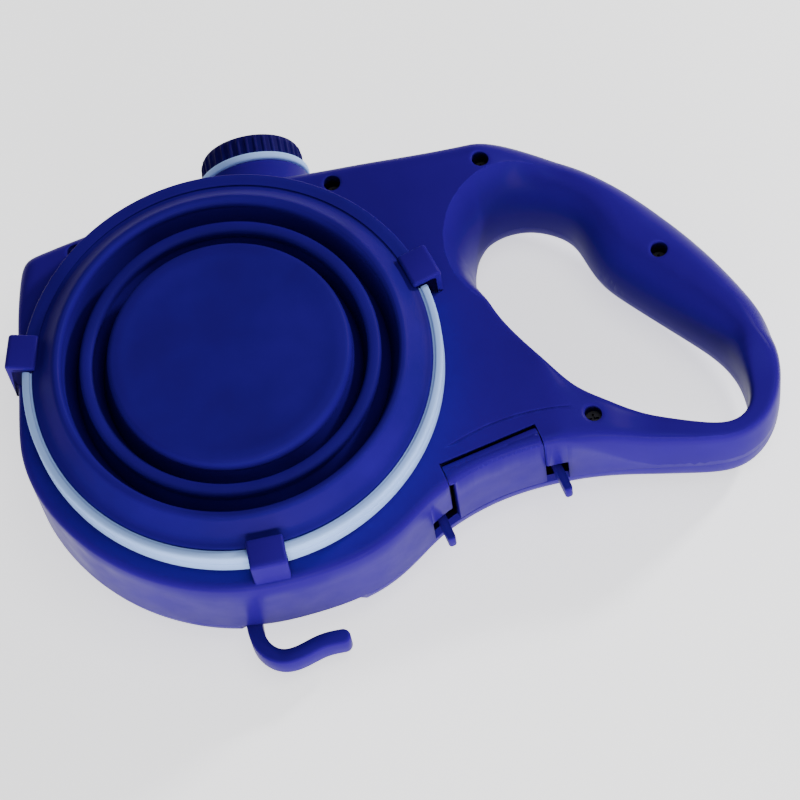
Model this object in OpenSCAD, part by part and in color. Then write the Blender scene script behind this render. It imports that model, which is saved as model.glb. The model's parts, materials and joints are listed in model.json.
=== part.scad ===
// Retractable dog leash with a water bottle, a clip-on folding bowl, a bag compartment and a bag hook.
// It lies on its back face: +Z points out of the front face, +X points along the handle.
// The origin is on the back face, on the common axis of the leash reel and the bowl.

/* [Housing] */
// Thickness of the housing from back face to front face
case_h = 45; // [44:0.5:47]
// Height at which the two shells meet
split_z = 16; // [15.5:0.1:16.2]
// Wall thickness of both shells
wall = 2.2; // [2:0.1:2.4]
// Radius of the round reel end of the housing
reel_end_r = 68.4; // [67.5:0.1:69]
// Middle height of the handle loop
handle_z = 21; // [20:0.5:22]
// Thickness of the handle loop
handle_h = 30; // [28:0.5:31]
// Radius of the screw recesses
screw_recess_r = 2.6; // [2.4:0.1:2.8]

/* [Reel] */
// Radius of the drum's flanges
drum_r = 44; // [43:0.5:44]
// Radius of the full winding of tape
wound_r = 40; // [36:0.5:40]
// Width of the leash tape
tape_w = 9.6; // [8:0.1:9.8]
// Thickness of the leash tape
tape_t = 0.9; // [0.7:0.1:1]
// Radius of the fixed axle
axle_r = 4; // [3.5:0.1:4]
// Number of brake notches round the drum
brake_notches = 16; // [16:8:24]
// Travel of the brake button
brake_travel = 4.5; // [4:0.5:4.5]

/* [Bottle] */
// Sideways place of the bottle's neck
neck_x = 15.3; // [15:0.1:16]
// Height of the neck's axis above the back face
neck_z = 23; // [22.5:0.1:23.5]
// Outer radius of the neck
neck_r = 12; // [11.5:0.1:12]
// Radius of the screw cap
cap_r = 16; // [15.5:0.1:16.5]
// Length of the screw cap
cap_len = 7.2; // [7:0.1:9]
// Number of grip ribs round the cap
cap_ribs = 36; // [24:4:40]

/* [Bowl] */
// Outer radius of the bowl's rim ring
rim_r = 62.5; // [61.5:0.1:63]
// Height of the rim ring
rim_h = 8.7; // [8:0.1:8.9]
// Radius of the outer ridge of the folded bowl
ridge_r = 51.5; // [51:0.1:52]
// Radius of the bowl's base
base_r = 36.2; // [35.5:0.1:36.3]
// Height of the folded base above the housing
base_rise = 17; // [16.5:0.1:18]

/* [Fittings] */
// Length of the bag compartment's door along the wall
door_len = 30; // [28:0.5:30]
// Thickness of the bag hook
hook_w = 4.7; // [4.5:0.1:5]
// Height of the bag hook
hook_h = 8.8; // [8:0.1:9]
// Width of each bowl clip
clip_w = 11; // [10:0.5:12]

/* [Hidden] */
$fn = 96;

blue = [0.10, 0.07, 0.72];
soft_blue = [0.12, 0.09, 0.62];
pale = [0.78, 0.86, 0.97];
steel = [0.72, 0.73, 0.75];
dark = [0.12, 0.12, 0.14];

big = 400;
eps = 0.01;
running_gap = 0.06;
inner_top = case_h - wall;

// Corner roundings of the shells
face_round = 3;
back_round_r = 18;
handle_round_r = 10;

// Reel levels
drum_z = 3.6;
drum_top = split_z + 0.8;
flange_t = 1.4;
hub_r = 21;
tape_z = drum_z + flange_t + 0.3;
cover_z = drum_top + 0.8;
cover_t = 1.2;
cover_r = 46.5;
cover_post_r = 50;
cover_posts = [112, 215, 335];

// Brake levels: the pin drops into a round notch of the drum's upper flange.
notch_r = 4.6;
notch_centre_r = drum_r + 1.2;
notch_angle = 40;
brake_pin_r = 1.5;
brake_engaged_r = drum_r - 1;
button_x = 60;
button_w = 28;
button_z = [17, 31];
button_front_y = 67.4;

// Neck levels along +Y
collar_end = 73.5;
ring_t = 2.6;
cap_start = collar_end + ring_t + 0.3;
cap_end = cap_start + cap_len;
collar_r = 16.8;
neck_end = 80.5;

// Bottle body: a flat round tank over the reel
bottle_z = 20.9;
bottle_r = 57;
bottle_wall = 1.6;

// Bowl levels
rim_z = case_h + 0.3;
rim_top = rim_z + rim_h;
rim_in_r = 59.7;
wall_in_r = 57.4;
ridge_z = case_h + 15.6;
mid_r = 42.6;
mid_w = 4.1;
mid_z = case_h + 14;
base_z = case_h + base_rise;
fold_z = case_h + 3;
silicone_t = 1.3;

// Clips
clip_angles = [165.5, 17, 270.5];
clip_leg_r = [64.5, 67.2];
clip_lip_in = 57.9;
clip_top = case_h + 12;
clip_lip_t = 2.5;

// Bag compartment, in a frame whose x runs along the wall and whose -y points outwards
door_origin = [70.5, -44.5];
door_turn = 12.7;
door_gap = 0.15;
hinge_y = 4.6;
hinge_r = 1.8;
hinge_z = case_h - hinge_r;
door_low = split_z + 0.3;
latch_x = 18.9;
latch_pivot_y = 6;
latch_z = [18, 24];

// Bag hook
hook_pivot = [-8.5, -59.5];
hook_z = 6.5;
hook_eye_r = 3.6;
hook_pin_r = 1.5;
hook_pin_z = 3.2;

// Screws, as [x, y, height of the surface there]
screw_places = [[39, 57.5, case_h], [84.6, 56, case_h], [101.4, -33.3, case_h],
    [-41.4, 51.5, case_h], [132, 18.5, handle_z + handle_h / 2]];
screw_head_drop = 7;

// Outline of the housing, counter-clockwise from the nose, with the reel end as an arc
nose = [[-51, 54.9], [-56.4, 53.2], [-59.2, 48.5], [-61.4, 36], [-63.4, 20], [-65.4, 3], [-66.6, -10]];
underside = [[27, -65], [40, -58.7], [50, -51.2], [60, -46.3], [72, -42.6], [86, -41], [100, -41.2],
    [114, -42.8], [128, -45], [140, -46.2], [149, -43.4]];
grip_back = [[156, -36], [160, -24], [160, -8], [156, 3.5], [149.5, 16.5], [140, 31], [128.5, 44.3],
    [116, 55], [105, 61.2], [94, 63.4], [80, 63.2]];
top_edge = [[64, 63.4], [48, 64], [32, 64.2], [16, 65.2], [0, 65.4], [-14, 63.4], [-30, 59.4],
    [-42, 57]];
reel_end = [for (a = [200:13:278]) reel_end_r * [cos(a), sin(a)]];
outline_points = concat(nose, reel_end, underside, grip_back, top_edge);
hole_points = [[78.6, 7], [76.4, 20], [77, 31], [81, 40], [88, 44], [96, 44.2], [103.5, 41], [108.6, 36],
    [111.2, 28.5], [114.6, 20.5], [121, 12.7], [133, -0.2], [142, -10], [147, -18.5], [148.6, -28],
    [147, -36.5], [141, -40.2], [133, -39], [122, -35.2], [112, -30.8], [101, -24.4], [92.6, -16.2],
    [84.5, -4.6]];
hook_points = [hook_pivot, [-9.1, -68.5], [-7.8, -75.2], [-2.5, -79.6], [4, -78.6], [10, -76.1],
    [16.4, -76.2]];

// Smooth curves: a cubic B-spline whose control points are moved so that it passes its points.
function around(p, i) = p[(i + len(p)) % len(p)];
function control(p, i) = p[i] - (around(p, i - 1) - 2 * p[i] + around(p, i + 1)) / 6;
function blend(a, b, c, d, t) =
    (pow(1 - t, 3) * a + (3 * pow(t, 3) - 6 * t * t + 4) * b
    + (-3 * pow(t, 3) + 3 * t * t + 3 * t + 1) * c + pow(t, 3) * d) / 6;
function closed_curve(p, k) =
    let (c = [for (i = [0:len(p) - 1]) control(p, i)])
    [for (i = [0:len(p) - 1], j = [0:k - 1])
        blend(around(c, i - 1), c[i], around(c, i + 1), around(c, i + 2), j / k)];
function open_curve(p, k) =
    let (last = len(p) - 1, inner = [for (i = [0:last - 1], j = [0:k - 1])
        blend(p[max(i - 1, 0)], p[i], p[i + 1], p[min(i + 2, last)], j / k)])
    concat(inner, [p[last]]);

function unit(v) = v / norm(v);
function side(p, i) = let (d = unit(p[min(i + 1, len(p) - 1)] - p[max(i - 1, 0)])) [-d[1], d[0]];

// A strip of width w along an open path
module ribbon(path, w) {
    last = len(path) - 1;
    polygon(concat([for (i = [0:last]) path[i] + side(path, i) * w / 2],
        [for (i = [last:-1:0]) path[i] - side(path, i) * w / 2]));
}

// A closed tube with a polygonal section along a path in space whose middle line runs along +Y
module coil(r, wire_r, turns, length) {
    sides = 6;
    rings = turns * 12;
    points = [for (i = [0:rings], j = [0:sides - 1])
        let (a = 360 * turns * i / rings, b = 360 * j / sides, q = r + wire_r * cos(b))
        [q * cos(a), length * i / rings + wire_r * sin(b), q * sin(a)]];
    sidefaces = [for (i = [0:rings - 1], j = [0:sides - 1])
        let (a = i * sides, b = a + sides, k = (j + 1) % sides)
        [a + j, a + k, b + k, b + j]];
    first_end = [for (j = [sides - 1:-1:0]) j];
    last_end = [for (j = [0:sides - 1]) rings * sides + j];
    polyhedron(points, concat(sidefaces, [first_end, last_end]));
}

module outline_2d() {
    difference() {
        polygon(closed_curve(outline_points, 2));
        polygon(closed_curve(hole_points, 2));
    }
}

// Where the housing has its full thickness: all but the handle loop and the dish round its upper root
module full_height_2d() {
    difference() {
        outline_2d();
        translate([95, 28]) circle(r = 26.5);
        translate([88, 0]) square([big, big]);
        translate([108, -big]) square([big, 2 * big]);
    }
}

// One level of the housing between two heights
module level(inset, from, to) {
    translate([0, 0, min(from, to)]) linear_extrude(abs(to - from)) offset(delta = -inset) children();
}

// Stacked levels from the split plane to a face, rounded in over round_h by round_r.
// start is the angle at which the rounding begins, where it begins beyond the split plane.
module stack(face_z, round_r, round_h, steps, inset, start = 0) {
    full = face_z - split_z;
    squash = (abs(full) - inset) / abs(full);
    rounding = round_h * (1 - sin(start)) * sign(full);
    angles = [for (i = [0:steps]) start + (90 - start) * i / steps];
    heights = [for (a = angles) split_z + (full - sign(full) * round_h * (1 - sin(a))) * squash];
    if (abs(full - rounding) > eps) level(inset, split_z, heights[0]) children();
    for (i = [0:steps - 1])
        level(inset + round_r * (1 - cos((angles[i] + angles[i + 1]) / 2)), heights[i], heights[i + 1])
            children();
}

// The front half's full form, shrunk all round by inset
module front_form(inset) {
    stack(case_h, face_round, face_round, 3, inset) full_height_2d();
    stack(handle_z + handle_h / 2, handle_round_r, handle_h / 2, 4, inset) outline_2d();
}

// The back half's full form, shrunk all round by inset
module back_form(inset) {
    stack(0, back_round_r, split_z, 5, inset) full_height_2d();
    stack(handle_z - handle_h / 2, handle_round_r, handle_h / 2, 3, inset,
        start = asin((handle_z - split_z) / (handle_h / 2))) outline_2d();
}

// Along the neck's axis, measured along +Y
module along_neck(from) {
    translate([neck_x, from, neck_z]) rotate([-90, 0, 0]) children();
}

module door_frame() {
    translate([door_origin[0], door_origin[1], 0]) rotate(door_turn) children();
}

module box(x, y, z) {
    translate([x[0], y[0], z[0]]) cube([x[1] - x[0], y[1] - y[0], z[1] - z[0]]);
}

// A round bar of length h, centred on the door's hinge axis
module hinge_bar(r, h) {
    door_frame() translate([0, hinge_y, hinge_z]) rotate([0, 90, 0])
        cylinder(r = r, h = h, center = true);
}

// Openings that both shells share
module neck_bore() {
    along_neck(48) cylinder(r = neck_r + 1, h = 40);
}

module button_slot() {
    half = button_w / 2 + 0.3;
    box([button_x - half, button_x + half], [54, 80], [button_z[0] - 0.5, button_z[1] + 0.3]);
}

module door_slot() {
    half = door_len / 2 + door_gap;
    door_frame() box([-half, half], [-12, hinge_y + hinge_r + 0.6], [split_z - 1, case_h + 1]);
}

module latch_slots() {
    door_frame() for (s = [-1, 1]) mirror([s < 0 ? 1 : 0, 0, 0])
        box([door_len / 2, latch_x + 2.6], [-12, 5], [split_z - 1, latch_z[1] + 3.5]);
}

module collar() {
    along_neck(58) cylinder(r = collar_r, h = collar_end - 58);
}

module front_shell() {
    color(blue) difference() {
        union() {
            difference() {
                front_form(0);
                translate([0, 0, -eps]) front_form(wall);
            }
            intersection() {
                collar();
                box([-big, big], [-big, big], [split_z, case_h]);
            }
            for (s = screw_places) translate([s[0], s[1], split_z])
                cylinder(r = 3.3, h = s[2] - split_z - wall / 2);
            // Foot of the left clip, which stands out past the wall
            rotate(clip_angles[0]) box([61.5, clip_leg_r[1]], [-clip_w / 2, clip_w / 2], [36, case_h]);
            // Lugs for the door's hinge pin
            door_frame() for (s = [-1, 1]) translate([s * (door_len / 2 + 2), hinge_y, hinge_z])
                rotate([0, 90, 0]) cylinder(r = 1.75, h = 3, center = true);
            // Posts for the latches
            door_frame() for (s = [-1, 1])
                box([s * latch_x - 2.4, s * latch_x + 2.4], [latch_pivot_y - 2, latch_pivot_y + 2],
                    [latch_z[1] + 0.3, inner_top + eps]);
        }
        for (s = screw_places) translate([s[0], s[1], 0]) {
            cylinder(r = 1.6, h = case_h + 1);
            translate([0, 0, s[2] - screw_head_drop - 2]) cylinder(r = screw_recess_r, h = case_h);
        }
        neck_bore();
        button_slot();
        door_slot();
        latch_slots();
        hinge_bar(0.8, door_len + 7);
        door_frame() for (s = [-1, 1]) translate([s * latch_x, latch_pivot_y, split_z])
            cylinder(r = 1, h = 14);
    }
}

module back_shell() {
    color(blue) difference() {
        union() {
            difference() {
                back_form(0);
                translate([0, 0, eps]) back_form(wall);
            }
            intersection() {
                collar();
                box([-big, big], [-big, big], [0, split_z]);
            }
            intersection() {
                back_form(0);
                union() {
                    for (s = screw_places) translate([s[0], s[1], 1]) cylinder(r = 4, h = split_z - 1);
                    // Floor of the hook's pocket
                    difference() {
                        box([-14, 30], [-70, -40], [1, hook_z - 0.3]);
                        cylinder(r = 47, h = 20);
                    }
                }
            }
            for (a = cover_posts) rotate(a) translate([cover_post_r, 0, 1])
                cylinder(r = 3, h = cover_z - 1);
            // Rib that the brake spring pushes against
            box([button_x - 4, button_x + 8], [44, 46], [1, 30]);
        }
        for (s = screw_places) translate([s[0], s[1], 5]) cylinder(r = 1.3, h = split_z);
        for (a = cover_posts) rotate(a) translate([cover_post_r, 0, 7]) cylinder(r = 1, h = 20);
        neck_bore();
        // Wall opening for the bag hook
        intersection() {
            difference() {
                cylinder(r = 80, h = split_z - 0.4);
                translate([0, 0, -1]) cylinder(r = 57, h = 40);
            }
            box([-12.5, 25], [-80, -50], [hook_z - 0.3, split_z - 0.4]);
        }
        translate([hook_pivot[0], hook_pivot[1], hook_pin_z]) cylinder(r = hook_pin_r, h = 10);
        outlet_block(0);
    }
}

module case_screws() {
    color(steel) for (s = screw_places) translate([s[0], s[1], 0]) {
        head_z = s[2] - screw_head_drop - 2;
        translate([0, 0, 8]) cylinder(r = 1.3, h = split_z - 8);
        translate([0, 0, split_z]) cylinder(r = 1.55, h = head_z - split_z);
        difference() {
            translate([0, 0, head_z]) cylinder(r = 2.5, h = 1.8);
            for (a = [0, 90]) translate([0, 0, head_z + 1.4]) rotate(a)
                cube([3.2, 0.7, 1.6], center = true);
        }
    }
}

module reel_cover() {
    color(dark) difference() {
        translate([0, 0, cover_z]) union() {
            cylinder(r = cover_r, h = cover_t);
            for (a = cover_posts) rotate(a) {
                translate([cover_post_r, 0, 0]) cylinder(r = 3.4, h = cover_t);
                translate([cover_r - 3, -3.4, 0]) cube([cover_post_r - cover_r + 3, 6.8, cover_t]);
            }
        }
        cylinder(r = axle_r, h = 60);
        for (a = cover_posts) rotate(a) translate([cover_post_r, 0, 0]) cylinder(r = 1.2, h = 60);
    }
}

module reel_cover_screws() {
    color(steel) for (a = cover_posts) rotate(a) translate([cover_post_r, 0, 9]) {
        cylinder(r = 1, h = cover_z - 9);
        translate([0, 0, cover_z - 9]) cylinder(r = 1.2, h = cover_t);
        translate([0, 0, cover_z + cover_t - 9]) cylinder(r = 2.2, h = 1.2);
    }
}

module reel_axle() {
    color(steel) difference() {
        union() {
            translate([0, 0, wall + eps]) cylinder(r = 8, h = 1);
            translate([0, 0, wall + eps]) cylinder(r = axle_r, h = cover_z + cover_t - wall - eps);
        }
        // Slot that holds the spring's inner end
        box([-0.4, 0.4], [0, 5], [5, 12]);
    }
}

module reel_drum() {
    color(dark) difference() {
        union() {
            translate([0, 0, drum_z]) cylinder(r = drum_r, h = flange_t);
            translate([0, 0, drum_z]) cylinder(r = hub_r, h = drum_top - drum_z);
            translate([0, 0, drum_top - flange_t]) cylinder(r = drum_r, h = flange_t);
        }
        translate([0, 0, drum_z - 1]) cylinder(r = hub_r - 1.6, h = 9.4);
        cylinder(r = axle_r + 1.1, h = 60);
        for (i = [0:brake_notches - 1]) rotate(notch_angle + i * 360 / brake_notches)
            translate([notch_centre_r, 0, drum_top - flange_t - 1]) cylinder(r = notch_r, h = 5);
    }
}

module drum_bush() {
    color("peru") translate([0, 0, drum_z + 8.4]) difference() {
        cylinder(r = axle_r + 1.1, h = drum_top - drum_z - 8.4);
        translate([0, 0, -1]) cylinder(r = axle_r + running_gap, h = 20);
    }
}

module spring_cover() {
    color(dark) translate([0, 0, drum_z]) difference() {
        cylinder(r = hub_r - 1.6, h = 1);
        translate([0, 0, -1]) cylinder(r = 9, h = 3);
    }
}

// Flat spiral spring in the drum's hub: inner end on the axle, outer end on the hub
module spiral_spring() {
    turns = 6;
    start_r = axle_r + 0.5;
    end_r = hub_r - 2.4;
    steps = turns * 16;
    spiral = [for (i = [0:steps])
        let (t = i / steps, a = 90 + 360 * turns * t)
        (start_r + (end_r - start_r) * t) * [cos(a), sin(a)]];
    color(steel) translate([0, 0, 5.2]) linear_extrude(6.2) ribbon(concat([[0, 1.5]], spiral), 0.5);
}

module tape_wound() {
    color(blue) translate([0, 0, tape_z]) difference() {
        cylinder(r = wound_r, h = tape_w);
        translate([0, 0, -1]) cylinder(r = hub_r, h = 20);
    }
}

module tape_run() {
    clear_x = -sqrt(pow(wound_r + 0.05, 2) - pow(wound_r - tape_t, 2));
    color(blue) box([-59.5, clear_x], [wound_r - tape_t, wound_r], [tape_z, tape_z + tape_w]);
}

// The outer size of the outlet guide, grown by gap
module outlet_block(gap) {
    box([-66, -52], [wound_r - 5 - gap, wound_r + 4 + gap], [tape_z - 1.2 - gap, split_z - 0.1 + gap]);
}

module outlet_guide() {
    color(dark) difference() {
        intersection() {
            back_form(0);
            outlet_block(0);
        }
        box([-70, -40], [wound_r - tape_t - 0.9, wound_r + 0.9], [tape_z - 0.2, tape_z + tape_w + 0.2]);
    }
}

// Brake: thumb button, arm and pin in one piece, pressed along -Y
module brake_button() {
    engaged = brake_engaged_r * [cos(notch_angle), sin(notch_angle)];
    pin = engaged + [0, brake_travel];
    elbow = [button_x - 4, 56];
    arm = elbow - pin;
    arm_z = drum_top - 1.9;
    arm_t = cover_z - arm_z - 0.4;
    color(blue) {
        difference() {
            intersection() {
                box([button_x - button_w / 2, button_x + button_w / 2], [57, button_front_y], button_z);
                translate([button_x, button_front_y - 60, 0]) cylinder(r = 60, h = 60, $fn = 240);
            }
            for (i = [-3:3]) translate([button_x + i * 3, button_front_y + 0.35, 0])
                cylinder(r = 0.8, h = 60, $fn = 24);
        }
        translate([pin[0], pin[1], arm_z]) cylinder(r = brake_pin_r, h = arm_t, $fn = 48);
        translate([pin[0], pin[1], arm_z]) rotate(atan2(arm[1], arm[0])) translate([0, -brake_pin_r, 0])
            cube([norm(arm), 2 * brake_pin_r, arm_t]);
        box([elbow[0] - 4, elbow[0] + 8], [54, 57], [arm_z, button_z[1] - 2]);
    }
}

module brake_spring() {
    color(steel) translate([button_x + 5, 46.5, 24]) coil(2.6, 0.4, 5, 7);
}

module water_bottle() {
    h = inner_top - 0.5 - bottle_z;
    color("white") difference() {
        union() {
            translate([0, 0, bottle_z]) cylinder(r = bottle_r, h = h);
            along_neck(50) cylinder(r = neck_r, h = neck_end - 50);
            for (y = [2.9, 1.1]) along_neck(neck_end - y) cylinder(r = neck_r + 0.6, h = 0.7);
        }
        translate([0, 0, bottle_z + bottle_wall])
            cylinder(r = bottle_r - bottle_wall, h = h - 2 * bottle_wall);
        along_neck(50 + bottle_wall) cylinder(r = neck_r - 2.2, h = 40);
    }
}

module neck_ring() {
    r = 17.4;
    color(pale) along_neck(collar_end) rotate_extrude()
        polygon([[neck_r, 0], [r - 0.4, 0], [r, 0.5], [r, ring_t - 0.5], [r - 0.4, ring_t],
            [neck_r, ring_t]]);
}

module cap_liner() {
    color("white") along_neck(cap_end - 3) cylinder(r = neck_r - 0.4, h = 0.9);
}

module bottle_cap() {
    color(blue) difference() {
        union() {
            along_neck(cap_start) cylinder(r = cap_r - 0.6, h = cap_len);
            for (i = [0:cap_ribs - 1]) along_neck(cap_start) rotate(i * 360 / cap_ribs)
                translate([cap_r - 0.6, 0, 0]) cylinder(r = 0.6, h = cap_len - 0.8, $fn = 16);
        }
        along_neck(cap_start - 1) cylinder(r = neck_r + 0.9, h = cap_len - 1.1);
    }
}

module clip(i) {
    color(blue) rotate(clip_angles[i]) {
        box(clip_leg_r, [-clip_w / 2, clip_w / 2], [case_h, clip_top]);
        box([clip_lip_in, clip_leg_r[1]], [-clip_w / 2, clip_w / 2], [clip_top - clip_lip_t, clip_top]);
    }
}

module clip_left() { clip(0); }

module clip_right() { clip(1); }

module clip_bottom() { clip(2); }

// Door of the bag compartment: a piece of the front shell's form with a hinge barrel at its top edge
module bag_door() {
    half = door_len / 2;
    color(blue) difference() {
        union() {
            difference() {
                intersection() {
                    front_form(0);
                    door_frame() box([-half, half], [-12, hinge_y], [door_low, case_h + 1]);
                }
                translate([0, 0, -eps]) front_form(wall);
            }
            hinge_bar(hinge_r, door_len);
        }
        hinge_bar(0.8 + running_gap, door_len + 2);
    }
}

module door_pin() {
    color(steel) hinge_bar(0.8, door_len + 6.8);
}

module bag_box() {
    half = door_len / 2 - 0.6;
    color(dark) door_frame() difference() {
        box([-half, half], [7.2, 21], [8.4, 40.5]);
        box([-half + 1.2, half - 1.2], [6, 19.8], [9.6, 39.3]);
    }
}

// Latch lever: a finger tab outside the wall on a pivot behind it
module latch(s) {
    color(blue) door_frame() difference() {
        union() {
            box([s * latch_x - 1.2, s * latch_x + 1.2], [-8, latch_pivot_y], latch_z);
            translate([s * latch_x, latch_pivot_y, latch_z[0]])
                cylinder(r = 2.2, h = latch_z[1] - latch_z[0]);
        }
        translate([s * latch_x, latch_pivot_y, 0]) cylinder(r = 1 + running_gap, h = 60);
    }
}

module latch_left() { latch(-1); }

module latch_right() { latch(1); }

module latch_pins() {
    color(steel) door_frame() for (s = [-1, 1])
        translate([s * latch_x, latch_pivot_y, split_z + 0.5]) cylinder(r = 1, h = 13.4);
}

module bag_hook() {
    color(blue) difference() {
        translate([0, 0, hook_z]) union() {
            linear_extrude(hook_h) ribbon(open_curve(hook_points, 5), hook_w);
            translate([hook_pivot[0], hook_pivot[1], 0]) cylinder(r = hook_eye_r, h = hook_h);
            translate([hook_points[6][0], hook_points[6][1], 0]) cylinder(r = hook_w / 2, h = hook_h);
        }
        translate([hook_pivot[0], hook_pivot[1], 0]) cylinder(r = hook_pin_r + running_gap, h = 60);
    }
}

module hook_pin() {
    color(steel) translate([hook_pivot[0], hook_pivot[1], hook_pin_z])
        cylinder(r = hook_pin_r, h = split_z - 0.1 - hook_pin_z);
}

module bowl_rim() {
    groove_z = rim_z + rim_h / 2;
    color(pale) rotate_extrude() polygon([
        [wall_in_r, rim_z], [rim_r - 0.4, rim_z], [rim_r, rim_z + 0.4], [rim_r, groove_z - 0.5],
        [rim_r - 0.5, groove_z], [rim_r, groove_z + 0.5], [rim_r, rim_top - 0.6], [rim_r - 0.6, rim_top],
        [rim_in_r, rim_top], [rim_in_r, rim_top - 1], [wall_in_r + 0.1, rim_top - 1],
        [wall_in_r + 0.1, rim_top - 3], [rim_in_r - 0.6, rim_top - 3], [rim_in_r - 0.6, rim_z + 1.6],
        [wall_in_r, rim_z + 1.6]]);
}

// Outer wall of the silicone bowl, from the rim up to the rounded outer ridge
module bowl_wall() {
    color(soft_blue) rotate_extrude() polygon([
        [wall_in_r, rim_top - 3], [wall_in_r, rim_top - 0.6], [wall_in_r - 0.4, rim_top + 0.2],
        [ridge_r + 1.6, ridge_z - 1], [ridge_r + 0.3, ridge_z - 0.1], [ridge_r - 0.6, ridge_z],
        [ridge_r - 1.5, ridge_z - 0.9], [ridge_r - 1.7, ridge_z - 3.4], [ridge_r - 0.4, ridge_z - 3.4],
        [ridge_r + 0.4, ridge_z - 2.4], [wall_in_r - 2.4, rim_top - 1.4], [wall_in_r - 2, rim_top - 3]]);
}

// One folded web between two rings of the bowl: out_r is its outer and in_r its inner edge
module fold(out_r, in_r, out_z, in_z) {
    mid = (out_r + in_r) / 2;
    color(soft_blue) rotate_extrude() polygon([
        [out_r, out_z], [mid + 0.9, fold_z], [mid - 0.9, fold_z], [in_r, in_z],
        [in_r + silicone_t, in_z], [mid, fold_z + 1.6], [out_r - silicone_t, out_z]]);
}

module bowl_fold_outer() { fold(ridge_r - 0.4, mid_r, ridge_z - 3.4, mid_z - 3); }

module bowl_mid_ring() {
    h = mid_w / 2;
    color(soft_blue) rotate_extrude() polygon([
        [mid_r - h, mid_z - 3], [mid_r + h, mid_z - 3], [mid_r + h, mid_z - 0.9],
        [mid_r + h - 0.9, mid_z], [mid_r - h + 0.9, mid_z], [mid_r - h, mid_z - 0.9]]);
}

module bowl_fold_inner() { fold(mid_r, base_r - silicone_t, mid_z - 3, base_z - 5); }

module bowl_base() {
    t = 2.2;
    color(soft_blue) rotate_extrude() polygon([
        [0, base_z - t], [base_r - 4, base_z - t], [base_r - 2.2, base_z - 5], [base_r, base_z - 5],
        [base_r, base_z - 2.4], [base_r - 0.9, base_z - 0.8], [base_r - 2.6, base_z - 0.1],
        [base_r - 5, base_z], [0, base_z]]);
}

front_shell();
back_shell();
case_screws();
reel_cover();
reel_cover_screws();
reel_axle();
reel_drum();
drum_bush();
spring_cover();
spiral_spring();
tape_wound();
tape_run();
outlet_guide();
brake_button();
brake_spring();
water_bottle();
neck_ring();
cap_liner();
bottle_cap();
clip_left();
clip_right();
clip_bottom();
bag_door();
door_pin();
bag_box();
latch_left();
latch_right();
latch_pins();
bag_hook();
hook_pin();
bowl_rim();
bowl_wall();
bowl_fold_outer();
bowl_mid_ring();
bowl_fold_inner();
bowl_base();
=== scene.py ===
"""Visual model of the retractable leash: moulded shells, folding bowl, bag door, latches, hook and cap.

Lengths in this file are millimetres in the CAD's frame; mesh data is written in metres.
"""
import json
import math

import bpy
import numpy as np
from mathutils import Matrix, Vector
from mathutils.geometry import delaunay_2d_cdt


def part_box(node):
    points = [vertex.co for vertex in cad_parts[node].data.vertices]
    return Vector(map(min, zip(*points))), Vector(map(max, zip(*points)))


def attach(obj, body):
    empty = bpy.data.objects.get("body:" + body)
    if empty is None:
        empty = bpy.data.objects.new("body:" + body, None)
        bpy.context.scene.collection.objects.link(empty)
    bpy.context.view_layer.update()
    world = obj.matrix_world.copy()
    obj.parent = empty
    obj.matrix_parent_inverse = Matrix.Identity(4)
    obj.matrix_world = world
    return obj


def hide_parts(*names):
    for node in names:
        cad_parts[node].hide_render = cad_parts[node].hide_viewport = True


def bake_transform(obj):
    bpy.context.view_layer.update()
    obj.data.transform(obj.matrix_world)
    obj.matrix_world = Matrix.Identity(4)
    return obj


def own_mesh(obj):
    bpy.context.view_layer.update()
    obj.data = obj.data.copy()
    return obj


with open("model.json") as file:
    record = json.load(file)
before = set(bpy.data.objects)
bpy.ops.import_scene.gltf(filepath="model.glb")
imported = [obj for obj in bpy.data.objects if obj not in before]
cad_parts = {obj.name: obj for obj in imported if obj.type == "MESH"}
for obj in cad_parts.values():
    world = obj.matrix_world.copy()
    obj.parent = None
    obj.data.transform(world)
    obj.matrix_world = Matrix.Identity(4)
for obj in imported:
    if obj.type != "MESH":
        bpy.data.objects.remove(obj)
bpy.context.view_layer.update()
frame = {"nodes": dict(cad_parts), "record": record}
MM = 0.001


def low(node):
    """Lowest corner of a CAD node's box, in millimetres."""
    return np.array(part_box(node)[0]) / MM


def high(node):
    """Highest corner of a CAD node's box, in millimetres."""
    return np.array(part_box(node)[1]) / MM


def joint(name):
    """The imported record's entry for one joint."""
    return next(j for j in frame["record"]["behaviour"]["joints"] if j["name"] == name)


# Driving sizes, read from the frame
FACE_Z = high("front_shell")[2]
SPLIT_Z = low("front_shell")[2]
WALL = 2.2
NECK = np.array([15.3, 23.0])
COLLAR_END = low("neck_ring")[1]
RIM_R = high("bowl_rim")[0]
RIM_Z = low("bowl_rim")[2]
RIM_TOP = high("bowl_rim")[2]
BASE_Z = high("bowl_base")[2]
BASE_R = high("bowl_base")[0]
MID_R = high("bowl_mid_ring")[0]
MID_Z = high("bowl_mid_ring")[2]
RIDGE_Z = high("bowl_wall")[2]
FOLD_Z = low("bowl_fold_outer")[2]
CLIP_TOP = high("clip_bottom")[2]

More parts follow.
